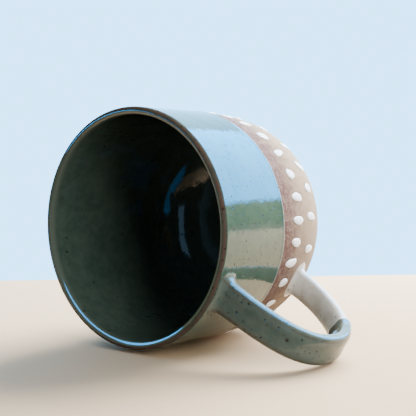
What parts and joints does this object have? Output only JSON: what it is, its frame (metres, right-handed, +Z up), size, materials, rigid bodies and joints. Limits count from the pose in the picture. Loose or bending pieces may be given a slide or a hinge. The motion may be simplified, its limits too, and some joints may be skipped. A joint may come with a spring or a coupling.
{
  "type": "stoneware mug",
  "caption": "Wheel-thrown stoneware mug with a pulled strap handle, a green glazed upper half over bare clay, rings of raised white slip dots and a turned foot",
  "frame": {"origin": "centre of the foot's underside, on the plane that the mug stands on", "axes": "+Z up along the mug's axis to the lip, the handle points along -X, +Y completes the right-handed frame"},
  "size_m": [0.1305, 0.0932, 0.081],
  "materials": {
    "bare_clay": "matt unglazed stoneware, reddish under the glaze and sandy below",
    "clay_slip": "matt fired slip",
    "green_glaze": "glossy grey-green glaze with fine iron specks",
    "dark_liner_glaze": "glossy dark green glaze with sparse specks",
    "white_glaze": "satin off-white glaze with fine specks",
    "white_slip": "satin white raised slip"
  },
  "bodies": {
    "root": {"clay_body": "bare_clay", "liner_glaze": "dark_liner_glaze", "outer_glaze": "green_glaze", "handle_strap": "bare_clay", "handle_green_glaze": "green_glaze", "handle_white_glaze": "white_glaze", "upper_joint_slip": "clay_slip", "lower_joint_slip": "clay_slip", "upper_slip_dots": "white_slip", "lower_slip_dots": "white_slip"}
  },
  "joints": []
}
